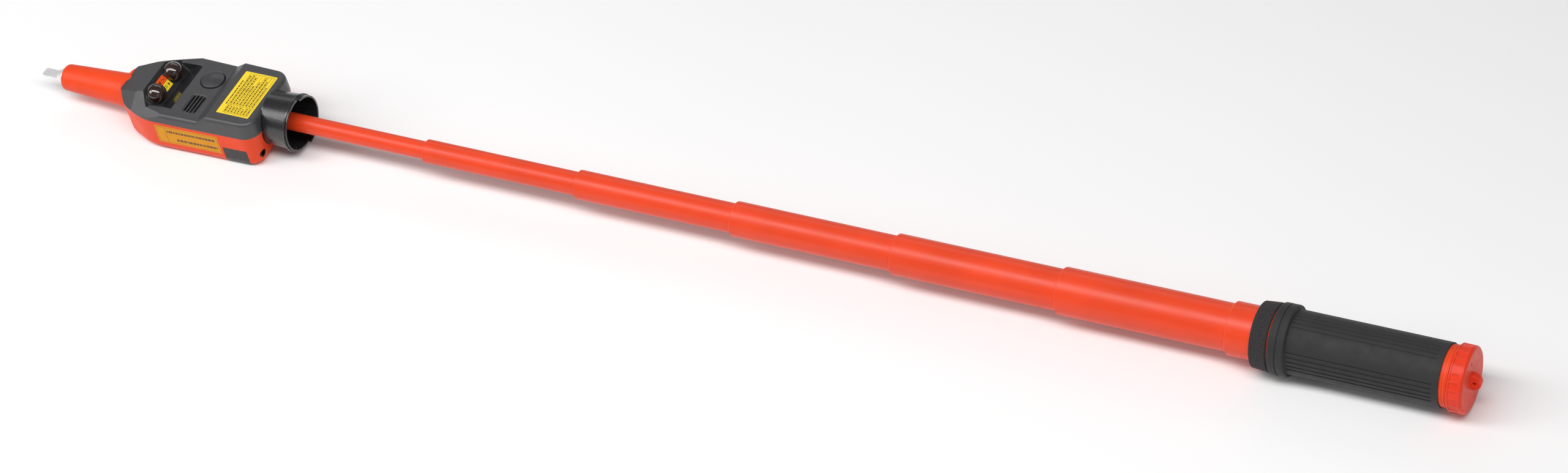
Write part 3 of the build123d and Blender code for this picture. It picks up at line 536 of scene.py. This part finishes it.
def woven_band():
    """Band of heavy webbing wrapped round the front of the handle."""
    low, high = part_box("grip_band")
    core_low, core_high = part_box("grip_core")
    centre_z = (low.z + high.z) / 2
    inner = (core_high.z - core_low.z) / 2 - BAND_BITE
    rear_radius = (high.z - low.z) / 2
    front_radius = rear_radius - BAND_TAPER
    around = int(round(2 * math.pi * rear_radius / WEAVE_PITCH / 2)) * 2
    turns = around * WEAVE_STEPS
    mesh = bmesh.new()
    rings = []
    for x, share, drop in band_profile(low, high):
        radius = front_radius + (rear_radius - front_radius) * share - drop
        row = (x - low.x) / WEAVE_PITCH
        loop = []
        for turn in range(turns):
            angle = 2 * math.pi * turn / turns
            height = weave_height(row, turn / WEAVE_STEPS)
            reach = radius - WEAVE_HEIGHT * (1.0 - height)
            loop.append(mesh.verts.new((x, reach * math.cos(angle),
                                        centre_z + reach * math.sin(angle))))
        rings.append(loop)
    for x in (high.x, low.x):
        loop = []
        for turn in range(turns):
            angle = 2 * math.pi * turn / turns
            loop.append(mesh.verts.new((x, inner * math.cos(angle),
                                        centre_z + inner * math.sin(angle))))
        rings.append(loop)
    for first, second in zip(rings, rings[1:] + rings[:1]):
        for turn in range(turns):
            after = (turn + 1) % turns
            mesh.faces.new((first[turn], first[after], second[after], second[turn]))
    bmesh.ops.recalc_face_normals(mesh, faces=mesh.faces)
    band = new_piece("woven_band", mesh, webbing_finish(), "handle")
    smooth(band)
    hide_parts("grip_band")


# ---------------------------------------------------------------- print
class Print:
    """Thin ink shapes on a flat face, placed by two directions along it and its normal."""

    def __init__(self, origin, right, up):
        self.origin, self.right, self.up = origin, right, up
        self.out = right.cross(up).normalized()
        self.mesh = bmesh.new()

    def polygon(self, points):
        """One ink shape from flat (across, up) points, anticlockwise."""
        base = [self.origin + self.right * a + self.up * b + self.out * PRINT_LIFT
                for a, b in points]
        low = [self.mesh.verts.new(p) for p in base]
        high = [self.mesh.verts.new(p + self.out * PRINT_THICKNESS) for p in base]
        self.mesh.faces.new(high)
        self.mesh.faces.new(low[::-1])
        count = len(points)
        for i in range(count):
            j = (i + 1) % count
            self.mesh.faces.new((low[i], low[j], high[j], high[i]))

    def bar(self, a0, a1, b0, b1):
        self.polygon([(a0, b0), (a1, b0), (a1, b1), (a0, b1)])

    def frame(self, a0, a1, b0, b1):
        self.bar(a0, a1, b0, b0 + RULE_WIDTH)
        self.bar(a0, a1, b1 - RULE_WIDTH, b1)
        self.bar(a0, a0 + RULE_WIDTH, b0 + RULE_WIDTH, b1 - RULE_WIDTH)
        self.bar(a1 - RULE_WIDTH, a1, b0 + RULE_WIDTH, b1 - RULE_WIDTH)

    def dashes(self, a0, a1, b, height, rng):
        """A row of plain bars standing for a line of small print."""
        place = a0
        while place < a1 - DASH_SHORTEST * MM:
            end = min(place + rng.uniform(DASH_SHORTEST, DASH_LONGEST) * MM, a1)
            self.bar(place, end, b, b + height)
            place = end + rng.uniform(DASH_GAP_LEAST, DASH_GAP_MOST) * MM

    def finish(self, name, material):
        new_piece(name, self.mesh, material, "head")


def top_label_print():
    """Ruled table with rows of plain bars on the top plate."""
    low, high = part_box("top_plate")
    origin = Vector((high.x, low.y, high.z))
    label = Print(origin, Vector((0, 1, 0)), Vector((-1, 0, 0)))
    width, height = high.y - low.y, high.x - low.x
    margin = TOP_LABEL_MARGIN
    label.frame(margin, width - margin, margin, height - margin - TOP_LABEL_TITLE)
    rng = random.Random(11)
    row = (height - 2 * margin - TOP_LABEL_TITLE) / TOP_LABEL_ROWS
    split = margin + TOP_LABEL_SPLIT
    for index in range(TOP_LABEL_ROWS):
        b = margin + index * row
        if index:
            label.bar(margin, width - margin, b, b + RULE_WIDTH)
        label.dashes(margin + 1.0 * MM, split - 0.8 * MM, b + row * ROW_FOOT, row * 0.36, rng)
        end = rng.uniform(0.62, 0.97) * (width - margin - split) + split
        label.dashes(split + 1.0 * MM, end, b + row * ROW_FOOT, row * 0.36, rng)
    label.bar(split, split + RULE_WIDTH, margin, margin + row * TOP_LABEL_ROWS)
    half = margin + row * TOP_LABEL_HALF_ROWS
    middle = (split + width - margin) / 2
    label.bar(middle, middle + RULE_WIDTH, half, half + row * TOP_LABEL_HALF_SPAN)
    label.dashes(width * 0.22, width * 0.8, height - margin - 1.9 * MM, 0.9 * MM, rng)
    label.finish("top_label_print", print_finish("label_ink", PRINT_BROWN))


def side_label_print(ink):
    """Border, a ruled cell and two rows of plain bars on the side plate."""
    low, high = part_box("side_plate")
    face = NODES["side_plate"].data
    outer = min(face.polygons, key=lambda p: p.normal.y - 10 * p.area / MM)
    up = Vector((0, 0, 1)) - outer.normal * outer.normal.z
    up.normalize()
    right = up.cross(outer.normal)
    corner = min((v.co for v in face.vertices), key=lambda c: c.x + c.z + c.y)
    label = Print(corner.copy(), right, up)
    width, height = high.x - low.x, (high.z - low.z) / up.z
    margin = SIDE_LABEL_MARGIN
    label.frame(margin, width - margin, margin, height - margin)
    split = margin + SIDE_LABEL_SPLIT
    label.bar(split, split + RULE_WIDTH, margin, height - margin)
    rng = random.Random(5)
    row = (height - 2 * margin) / SIDE_LABEL_ROWS
    for index in range(SIDE_LABEL_ROWS):
        start = split + (1.2 + 6.0 * (1 - index)) * MM
        b = margin + (index + ROW_FOOT) * row
        label.dashes(start, width - margin - 1.0 * MM, b, row * 0.30, rng)
    label.finish("side_label_print", ink)


def tile_plane(name):
    """Centre of a tile's outer face and the directions across and up it."""
    mesh = NODES[name].data
    outer = max(mesh.polygons, key=lambda p: (round(p.normal.z, 2), p.area))
    points = [mesh.vertices[i].co for p in mesh.polygons
              if (p.normal - outer.normal).length < 0.01 for i in p.vertices]
    low = Vector(min(p[i] for p in points) for i in range(3))
    high = Vector(max(p[i] for p in points) for i in range(3))
    centre = (low + high) / 2
    right = Vector((0, 1, 0))
    up = outer.normal.cross(right)
    return centre, right, up.normalized()


def tile_marks(name, sign, ink):
    """An arrow towards its lamp, with a wave on one tile and two bars on the other."""
    centre, right, up = tile_plane(name)
    mark = Print(centre, right, up)
    tip = sign * ARROW_TIP * MM
    base = sign * ARROW_BASE * MM
    points = [(tip, 0), (base, ARROW_HALF), (base, -ARROW_HALF)]
    mark.polygon(points if sign < 0 else points[::-1])
    place = -sign * MARK_PLACE * MM
    if name == "ac_tile":
        wave_mark(mark, place)
    else:
        for level in BAR_LEVELS:
            mark.bar(place - BAR_HALF, place + BAR_HALF, level, level + BAR_HEIGHT)
    mark.finish(f"{name}_mark", ink)


def wave_mark(mark, centre):
    """One full wave in short straight strips, about a place across the tile."""
    start = centre - WAVE_LENGTH / 2
    half = WAVE_WIDTH / 2
    for step in range(WAVE_STEPS):
        a0, a1 = (start + WAVE_LENGTH * (step + k) / WAVE_STEPS for k in (0, 1))
        b0, b1 = (WAVE_REACH * math.sin(2 * math.pi * (step + k) / WAVE_STEPS) for k in (0, 1))
        mark.polygon([(a0, b0 - half), (a1, b1 - half), (a1, b1 + half), (a0, b0 + half)])


# ---------------------------------------------------------------- studio
def camera():
    """Camera at the fitted place, turned by azimuth, elevation and roll."""
    azimuth, elevation, roll = (math.radians(v) for v in
                                (CAMERA_AZIMUTH, CAMERA_ELEVATION, CAMERA_ROLL))
    back = Vector((math.sin(azimuth) * math.cos(elevation),
                   -math.cos(azimuth) * math.cos(elevation), math.sin(elevation)))
    right = Vector((math.cos(azimuth), math.sin(azimuth), 0.0))
    up = back.cross(right)
    turned_right = right * math.cos(roll) + up * math.sin(roll)
    turned_up = up * math.cos(roll) - right * math.sin(roll)
    data = bpy.data.cameras.new("camera")
    data.lens, data.sensor_width = CAMERA_LENS, CAMERA_SENSOR
    data.clip_end = CAMERA_REACH
    eye = bpy.data.objects.new("camera", data)
    axes = Matrix((turned_right, turned_up, back)).transposed().to_4x4()
    eye.matrix_world = Matrix.Translation(CAMERA_PLACE) @ axes
    bpy.context.scene.collection.objects.link(eye)
    bpy.context.scene.camera = eye


def soft_light(name, place, target, size, watts):
    """White rectangular light at a place, turned to a target."""
    data = bpy.data.lights.new(name, "AREA")
    data.shape = "RECTANGLE"
    data.size, data.size_y = size
    data.energy = watts
    lamp = bpy.data.objects.new(name, data)
    lamp.location = place
    aim = Vector(target) - Vector(place)
    lamp.rotation_mode = "QUATERNION"
    lamp.rotation_quaternion = aim.to_track_quat("-Z", "Y")
    bpy.context.scene.collection.objects.link(lamp)


def studio():
    """Pale floor, soft boxes overhead, to the side, behind and in front, and a dim white sky."""
    mesh = bmesh.new()
    bmesh.ops.create_grid(mesh, x_segments=8, y_segments=8, size=FLOOR_HALF)
    paper = Finish("pale_floor", (FLOOR_GREY, FLOOR_GREY, FLOOR_GREY, 1.0), 0.9)
    paper.shade(paper.noise(0.5, 2.0), 0.99, 1.01)
    data = bpy.data.meshes.new("floor")
    mesh.to_mesh(data)
    mesh.free()
    data.materials.append(paper.material)
    floor = bpy.data.objects.new("floor", data)
    bpy.context.scene.collection.objects.link(floor)
    centre = (0, 0, 0.02)
    soft_light("overhead_box", (0.05, -0.55, 1.5), centre, (3.0, 0.5), 30)
    soft_light("side_box", (1.3, -1.5, 0.9), centre, (1.2, 0.8), 1.5)
    soft_light("rear_box", (-0.6, 1.5, 1.1), centre, (1.8, 0.6), 3.5)
    soft_light("front_box", (-1.7, -0.8, 1.0), (-0.3, 0, 0.02), (0.9, 0.9), 10)
    world = bpy.data.worlds.new("studio")
    world.use_nodes = True
    background = world.node_tree.nodes["Background"]
    background.inputs["Color"].default_value = (1, 1, 1, 1)
    background.inputs["Strength"].default_value = SKY_STRENGTH
    bpy.context.scene.world = world
    bpy.context.scene.view_settings.view_transform = "Standard"


# ---------------------------------------------------------------- build
dress_cad()
woven_band()
top_label_print()
side_label_print(print_finish("side_ink", srgb(112, 72, 10)))
black_ink = print_finish("tile_ink", srgb(30, 24, 20))
tile_marks("ac_tile", -1, black_ink)
tile_marks("dc_tile", 1, black_ink)
camera()
studio()
